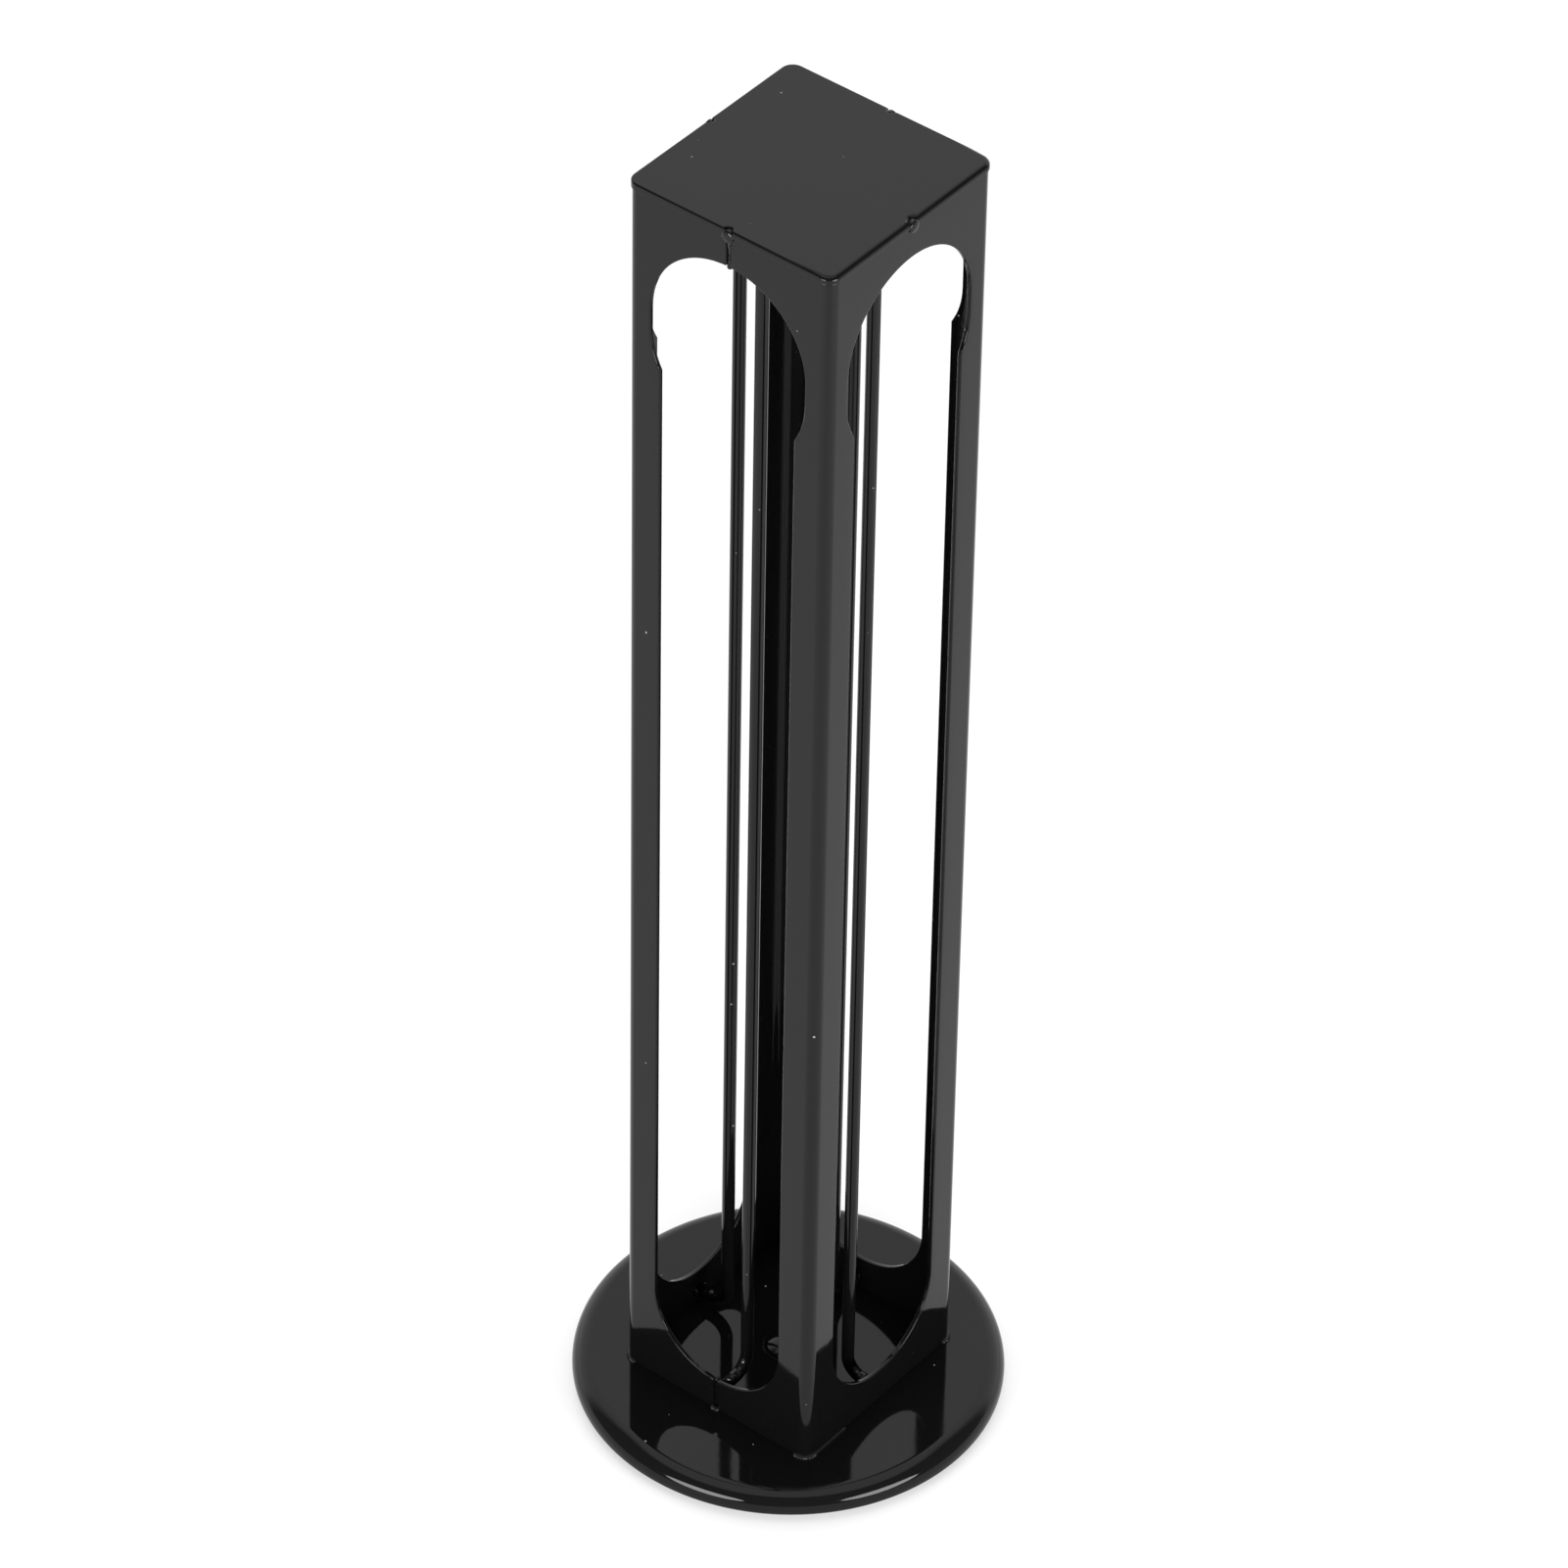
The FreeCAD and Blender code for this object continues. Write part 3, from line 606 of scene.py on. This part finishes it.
grow(
    column,
    fold,
    Side=half_side * 2,
    Bend=BEND,
    Facets=BEND_FACETS,
    Seam=2.5 * pitch + BEND_FACETS * bend_step / 2,
    Material=enamel,
)
wall = column.modifiers.new("sheet", "SOLIDIFY")
wall.thickness = SHEET
wall.offset = -1
wall.use_even_offset = True
broken = column.modifiers.new("cut_edge", "BEVEL")
broken.width = CUT_EDGE
broken.segments = 3
broken.angle_limit = math.radians(50)
broken.use_clamp_overlap = False
settle(column, enamel)
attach(column, "carousel")
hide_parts("column_shell")

# ---------------------------------------------------------------- wire guides
# A 4 mm steel wire runs up behind each slot to keep the capsules in their row. Each is bent to a
# flat U and welded by hand to the inside of the wall, so each stands a little to one side.
WALLS = {"front": 0, "right": 1, "back": 2, "left": 3}
WIRE_BEND = 6 * MM
wall_inside = half_side - SHEET

bend_wire, given = new_tree(
    "bend_wire",
    Wall="Float",
    Set_back="Float",
    Low="Float",
    High="Float",
    Bend="Float",
    Radius="Float",
    Shift="Float",
    Turn="Float",
)
corners = []
for depth, level in (("Wall", "Low"), ("Set_back", "Low"), ("Set_back", "High"), ("Wall", "High")):
    inward = add_node(bend_wire, "ShaderNodeMath", {0: given[depth], 1: -1}, operation="MULTIPLY")
    corners.append(
        add_node(bend_wire, "ShaderNodeCombineXYZ", {0: given["Shift"], 1: inward, 2: given[level]})
    )
frame_of_points = add_node(
    bend_wire,
    "GeometryNodeCurvePrimitiveQuadrilateral",
    {f"Point {i}": corner for i, corner in enumerate(corners, start=1)},
    mode="POINTS",
)
opened = add_node(
    bend_wire, "GeometryNodeSetSplineCyclic", {"Geometry": frame_of_points, "Cyclic": False}
)
elbows = add_node(
    bend_wire,
    "GeometryNodeFilletCurve",
    {"Curve": opened, "Count": 14, "Radius": given["Bend"]},
    mode="POLY",
)
round_bar = add_node(
    bend_wire, "GeometryNodeCurvePrimitiveCircle", {"Resolution": 40, "Radius": given["Radius"]}
)
bar = add_node(
    bend_wire,
    "GeometryNodeCurveToMesh",
    {"Curve": elbows, "Profile Curve": round_bar, "Fill Caps": True},
)
wall_turn = add_node(bend_wire, "ShaderNodeCombineXYZ", {"Z": given["Turn"]})
set_at_wall = add_node(bend_wire, "GeometryNodeTransform", {"Geometry": bar, "Rotation": wall_turn})
close_tree(bend_wire, set_at_wall, given["Material"])

wire_ends = []
for wall, quarter_turns in WALLS.items():
    turn = math.pi / 2 * quarter_turns
    back = Matrix.Rotation(-turn, 3, "Z")
    near, far = (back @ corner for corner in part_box(f"wire_guide_{wall}"))
    shift = (near.x + far.x) / 2
    wire_radius = abs(near.x - far.x) / 2
    low, high = near.z + wire_radius, far.z - wire_radius
    wire = piece_of(f"wire_guide_bar_{wall}", bmesh.new())
    grow(
        wire,
        bend_wire,
        Wall=wall_inside,
        Set_back=wire_radius - max(near.y, far.y),
        Low=low,
        High=high,
        Bend=WIRE_BEND,
        Radius=wire_radius,
        Shift=shift,
        Turn=turn,
        Material=enamel,
    )
    settle(wire, enamel)
    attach(wire, "carousel")
    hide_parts(f"wire_guide_{wall}")
    wire_ends += [(turn, shift, low), (turn, shift, high)]

# ---------------------------------------------------------------- welds of the wire guides
# A small fillet bead runs round the underside of each wire's end, where it meets the wall. Under
# the enamel it keeps the ripple of the drops that it was laid in.
BEAD_SWEEP = 220
GUIDE_DROP = 0.85 * MM
BEAD_STAND_OFF = 0.3

# The bead tree sets flattened drops along a path, each a little larger or smaller than the last.
lay_bead, given = new_tree(
    "lay_bead", Spacing="Float", Drop="Float", Flatness="Float", Unevenness="Float", Seed="Int"
)
path = add_node(lay_bead, "GeometryNodeMeshToCurve", {"Mesh": given["Geometry"]})
stations = add_node(
    lay_bead, "GeometryNodeCurveToPoints", {"Curve": path, "Length": given["Spacing"]}, mode="LENGTH"
)
shrink = add_node(
    lay_bead, "ShaderNodeMath", {0: 1.0, 1: given["Unevenness"]}, operation="SUBTRACT"
)
scatter = add_node(
    lay_bead, "FunctionNodeRandomValue", {2: shrink, 3: 1.0, "Seed": given["Seed"]}, data_type="FLOAT"
)
across = add_node(
    lay_bead, "ShaderNodeMath", {0: given["Drop"], 1: scatter.outputs[1]}, operation="MULTIPLY"
)
forward = add_node(
    lay_bead, "ShaderNodeMath", {0: across, 1: given["Flatness"]}, operation="MULTIPLY"
)
drop_size = add_node(lay_bead, "ShaderNodeCombineXYZ", {0: across, 1: across, 2: forward})
drop = add_node(lay_bead, "GeometryNodeMeshIcoSphere", {"Radius": 1.0, "Subdivisions": 4})
drops = add_node(
    lay_bead,
    "GeometryNodeInstanceOnPoints",
    {
        "Points": stations,
        "Instance": drop,
        "Rotation": stations.outputs["Rotation"],
        "Scale": drop_size,
    },
)
close_tree(lay_bead, drops, given["Material"])


def weld_bead(name, runs, count, voxel, seed, **drop):
    """Beads along the runs, each a list of points, set count times round the tower where there is
    more than one. The drops are flowed together into one skin."""
    spots = [spot for run in runs for spot in run]
    edges, first = [], 0
    for run in runs:
        edges += [(first + i, first + i + 1) for i in range(len(run) - 1)]
        first += len(run)
    mesh = bpy.data.meshes.new(name)
    mesh.from_pydata(spots, edges, [])
    bead = bpy.data.objects.new(name, mesh)
    bpy.context.scene.collection.objects.link(bead)
    if count > 1:
        grow(bead, set_round, Count=count, Radius=0.0, Start=0.0)
    grow(bead, lay_bead, Seed=seed, Material=enamel, **drop)
    melt = bead.modifiers.new("melt", "REMESH")
    melt.mode = "VOXEL"
    melt.voxel_size = voxel
    melt.use_smooth_shade = True
    flow = bead.modifiers.new("flow", "SMOOTH")
    flow.factor = 0.5
    flow.iterations = 2
    return bead


def guide_run(turn, shift, leg):
    """The path of one fillet bead round the underside of a wire's end."""
    reach = wire_radius + GUIDE_DROP * BEAD_STAND_OFF
    angles = [math.radians(-90 + BEAD_SWEEP * (i / 12 - 0.5)) for i in range(13)]
    inward = GUIDE_DROP * BEAD_STAND_OFF - wall_inside
    flat_run = [(shift + reach * math.cos(a), inward, leg + reach * math.sin(a)) for a in angles]
    return [Matrix.Rotation(turn, 3, "Z") @ Vector(place) for place in flat_run]


guide_welds = weld_bead(
    "guide_weld_beads",
    [guide_run(*end) for end in wire_ends],
    count=1,
    voxel=0.13 * MM,
    seed=4,
    Spacing=0.62 * MM,
    Drop=GUIDE_DROP,
    Flatness=0.75,
    Unevenness=0.22,
)
settle(guide_welds, enamel)
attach(guide_welds, "carousel")
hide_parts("guide_welds")

# ---------------------------------------------------------------- welds at the column's foot
# The column is welded to the disc with a bead round each corner, which runs on along one wall
# except on the -Y side, and with one spot at the foot of the seam.
FOOT_DROP = 1.15 * MM
RUN_DROP = 0.8 * MM
RUN_LENGTH = 18 * MM
corner_steps = [math.radians(-100 + 20 * i) for i in range(6)]
corner_run = [(flat + BEND * math.cos(a), BEND * math.sin(a) - flat, disc_top) for a in corner_steps]
corner_beads = weld_bead(
    "foot_weld_corners",
    [corner_run],
    count=4,
    voxel=0.15 * MM,
    seed=11,
    Spacing=0.9 * MM,
    Drop=FOOT_DROP,
    Flatness=0.8,
    Unevenness=0.2,
)
settle(corner_beads, enamel)
straight_run = [(half_side, -flat, disc_top), (half_side, RUN_LENGTH - half_side, disc_top)]
wall_turns = [Matrix.Rotation(math.pi / 2 * k, 3, "Z") for k in range(3)]
run_beads = weld_bead(
    "foot_weld_runs",
    [[wall_turn @ Vector(place) for place in straight_run] for wall_turn in wall_turns],
    count=1,
    voxel=0.14 * MM,
    seed=2,
    Spacing=0.5 * MM,
    Drop=RUN_DROP,
    Flatness=1.0,
    Unevenness=0.08,
)
settle(run_beads, enamel)
seam_spot = weld_bead(
    "seam_weld_spot",
    [[(-0.7 * MM, -half_side, disc_top), (0.9 * MM, -half_side, disc_top)]],
    count=1,
    voxel=0.14 * MM,
    seed=3,
    Spacing=0.7 * MM,
    Drop=FOOT_DROP,
    Flatness=0.8,
    Unevenness=0.3,
)
settle(seam_spot, enamel)
for bead in (corner_beads, run_beads, seam_spot):
    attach(bead, "carousel")
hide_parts("foot_welds")

# ---------------------------------------------------------------- top plate
# A rounded square of 2.5 mm steel closes the column. A half-round notch in the middle of each side
# takes the weld that holds it. Its upper edge is dressed round, most of all along the +X side.
top_low, top_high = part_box("top_plate")
PLATE_CORNER = 4 * MM
PLATE_ROUND = 0.6 * MM
PLATE_DRESSED = 1.5 * MM
NOTCH = 1.5 * MM
plate_half = top_high.x
quarter = []
for i in range(13):
    a = math.pi - math.pi * i / 12
    quarter.append((NOTCH * math.cos(a), NOTCH * math.sin(a) - plate_half))
for i in range(13):
    a = math.radians(-90 + 7.5 * i)
    inner = plate_half - PLATE_CORNER
    quarter.append((inner + PLATE_CORNER * math.cos(a), PLATE_CORNER * math.sin(a) - inner))
steel = bmesh.new()
outline = []
for k in range(4):
    turn = Matrix.Rotation(math.pi / 2 * k, 3, "Z")
    outline += [turn @ Vector((x, y, top_low.z)) for x, y in quarter]
face = steel.faces.new([steel.verts.new(place) for place in outline])
face.normal_update()
if face.normal.z > 0:
    face.normal_flip()
raised = bmesh.ops.extrude_face_region(steel, geom=[face])["geom"]
rise = top_high.z - top_low.z
bmesh.ops.translate(
    steel, verts=[item for item in raised if isinstance(item, bmesh.types.BMVert)], vec=(0, 0, rise)
)
bmesh.ops.recalc_face_normals(steel, faces=steel.faces)
share = steel.edges.layers.float.new("bevel_weight_edge")
for edge in steel.edges:
    middle = (edge.verts[0].co + edge.verts[1].co) / 2
    if all(abs(v.co.z - top_high.z) < 1e-7 for v in edge.verts):
        edge[share] = 1 if middle.x > plate_half - PLATE_CORNER else PLATE_ROUND / PLATE_DRESSED
    elif all(abs(v.co.z - top_low.z) < 1e-7 for v in edge.verts):
        edge[share] = EDGE_BREAK / PLATE_DRESSED
top_plate = piece_of("top_plate_blank", steel)
dressed = top_plate.modifiers.new("dressed_edge", "BEVEL")
dressed.limit_method = "WEIGHT"
dressed.width = PLATE_DRESSED
dressed.segments = 5
dressed.use_clamp_overlap = False
settle(top_plate, enamel)
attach(top_plate, "carousel")
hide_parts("top_plate")

# ---------------------------------------------------------------- welds of the top plate
# Each notch is filled with a plug of weld that laps on to the wall. The one over the seam was laid
# in several touches and left a lump beside the slit, and root beads close the slit from inside.
NUGGET = 2.1 * MM
nugget_height = top_low.z + 0.25 * MM
nugget_run = [(0, -half_side + 0.7 * MM, nugget_height), (0, -half_side - 0.35 * MM, nugget_height)]
nuggets = weld_bead(
    "top_plate_weld_plugs",
    [nugget_run],
    count=4,
    voxel=0.12 * MM,
    seed=8,
    Spacing=0.35 * MM,
    Drop=NUGGET,
    Flatness=0.3,
    Unevenness=0.12,
)
settle(nuggets, enamel)
entry_top = column_high.z - ENTRY_LINTEL
seam_lump = weld_bead(
    "seam_weld_lump",
    [
        [
            (-1.9 * MM, -half_side, nugget_height - 0.6 * MM),
            (0.4 * MM, -half_side, nugget_height - 1.4 * MM),
            (0.7 * MM, -half_side + 0.3 * MM, nugget_height - 4.2 * MM),
        ]
    ],
    count=1,
    voxel=0.11 * MM,
    seed=5,
    Spacing=0.8 * MM,
    Drop=0.95 * MM,
    Flatness=0.8,
    Unevenness=0.45,
)
settle(seam_lump, enamel)
ROOT_DROP = 0.95 * MM
upper_root = (entry_top - MM, nugget_height - MM)
lower_root = (disc_top, column_low.z + SLOT_SILL - MM)
seam_root = weld_bead(
    "seam_weld_root",
    [[(-0.6 * MM, 0.2 * MM - wall_inside, z) for z in heights] for heights in (upper_root, lower_root)],
    count=1,
    voxel=0.15 * MM,
    seed=6,
    Spacing=0.6 * MM,
    Drop=ROOT_DROP,
    Flatness=0.9,
    Unevenness=0.12,
)
settle(seam_root, enamel)
for bead in (nuggets, seam_lump, seam_root):
    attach(bead, "carousel")
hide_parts("top_plate_welds")

# ---------------------------------------------------------------- studio
# A plain pale table, lit a little from beneath, under a bright sheet that hangs behind and over the
# tower, with two low soft boxes left and right of the camera. A long lens looks down on the corner.
FLOOR_HALF = 30.0
FLOOR_GLOW = 0.46
floor_mesh = bpy.data.meshes.new("studio_floor")
corners = [(-FLOOR_HALF, -FLOOR_HALF, 0), (FLOOR_HALF, -FLOOR_HALF, 0)]
corners += [(FLOOR_HALF, FLOOR_HALF, 0), (-FLOOR_HALF, FLOOR_HALF, 0)]
floor_mesh.from_pydata(corners, [], [(0, 1, 2, 3)])
floor = bpy.data.objects.new("studio_floor", floor_mesh)
bpy.context.scene.collection.objects.link(floor)
pale, tree, shader, place = new_material("pale_floor", Roughness=0.9)
shader.inputs["Base Color"].default_value = colour("#C0C0C0")
shader.inputs["Specular IOR Level"].default_value = 0.1
shader.inputs["Emission Color"].default_value = colour("#FFFFFF")
shader.inputs["Emission Strength"].default_value = FLOOR_GLOW
floor_mesh.materials.append(pale)

VIEW_AZIMUTH = 38.206
VIEW_ELEVATION = 40.514
VIEW_ROLL = 1.0
VIEW_DISTANCE = 2.5457
VIEW_TARGET = Vector((-0.0029, -0.0035, 0.2392))
LENS = 200.03


def studio_place(azimuth, elevation, distance, target):
    """A place seen from the target at an azimuth, from -Y towards +X, and an elevation."""
    a, e = math.radians(azimuth), math.radians(elevation)
    away = Vector((math.sin(a) * math.cos(e), -math.cos(a) * math.cos(e), math.sin(e)))
    return target + away * distance, away


sky = bpy.data.worlds.new("studio_sky")
bpy.context.scene.world = sky
sky.use_nodes = True
tree = sky.node_tree
SKY_BRIGHT = 1.55
SKY_DARK = 0.27
# The bright sheet hangs behind and over the tower. The room in front, where the camera stands, is
# dark up to a height that these sines give.
ROOM_TOP = (0.8, 0.88)
SHEET_FRONT = (-0.5, -0.25)
toward = add_node(tree, "ShaderNodeTexCoord").outputs["Generated"]
front = studio_place(VIEW_AZIMUTH, 0, 1, Vector())[1]
facing = add_node(tree, "ShaderNodeVectorMath", {0: toward, 1: front}, operation="DOT_PRODUCT")
height = add_node(tree, "ShaderNodeSeparateXYZ", {0: toward})
ahead = add_node(
    tree,
    "ShaderNodeMapRange",
    {0: facing.outputs["Value"], 1: SHEET_FRONT[0], 2: SHEET_FRONT[1]},
    interpolation_type="SMOOTHSTEP",
)
under = add_node(
    tree,
    "ShaderNodeMapRange",
    {0: height.outputs[2], 1: ROOM_TOP[0], 2: ROOM_TOP[1], 3: 1.0, 4: 0.0},
    interpolation_type="SMOOTHSTEP",
)
room = add_node(tree, "ShaderNodeMath", {0: ahead, 1: under}, operation="MULTIPLY")
level = add_node(
    tree, "ShaderNodeMix", {0: room, 2: SKY_BRIGHT, 3: SKY_DARK}, data_type="FLOAT"
)
background = tree.nodes["Background"]
background.inputs["Color"].default_value = (1, 1, 1, 1)
tree.links.new(level.outputs[0], background.inputs["Strength"])

SOFT_BOX_DISTANCE = 1.2
SOFT_BOX_WIDTH = 0.8
SOFT_BOX_HEIGHT = 0.38
SOFT_BOX_ELEVATION = 14
SOFT_BOX_POWER = 12
for name, azimuth in (("soft_box_left", VIEW_AZIMUTH - 38), ("soft_box_right", VIEW_AZIMUTH + 44)):
    light = bpy.data.lights.new(name, "AREA")
    light.shape = "ELLIPSE"
    light.size = SOFT_BOX_WIDTH
    light.size_y = SOFT_BOX_HEIGHT
    light.energy = SOFT_BOX_POWER
    box = bpy.data.objects.new(name, light)
    box.location, away = studio_place(azimuth, SOFT_BOX_ELEVATION, SOFT_BOX_DISTANCE, Vector())
    box.rotation_euler = away.to_track_quat("Z", "Y").to_euler()
    bpy.context.scene.collection.objects.link(box)

lens = bpy.data.cameras.new("camera")
lens.lens = LENS
lens.clip_end = 100
camera = bpy.data.objects.new("camera", lens)
camera.location, away = studio_place(VIEW_AZIMUTH, VIEW_ELEVATION, VIEW_DISTANCE, VIEW_TARGET)
upright = away.to_track_quat("Z", "Y").to_matrix()
camera.rotation_euler = (upright @ Matrix.Rotation(math.radians(VIEW_ROLL), 3, "Z")).to_euler()
bpy.context.scene.collection.objects.link(camera)
bpy.context.scene.camera = camera
bpy.context.scene.view_settings.view_transform = "Standard"
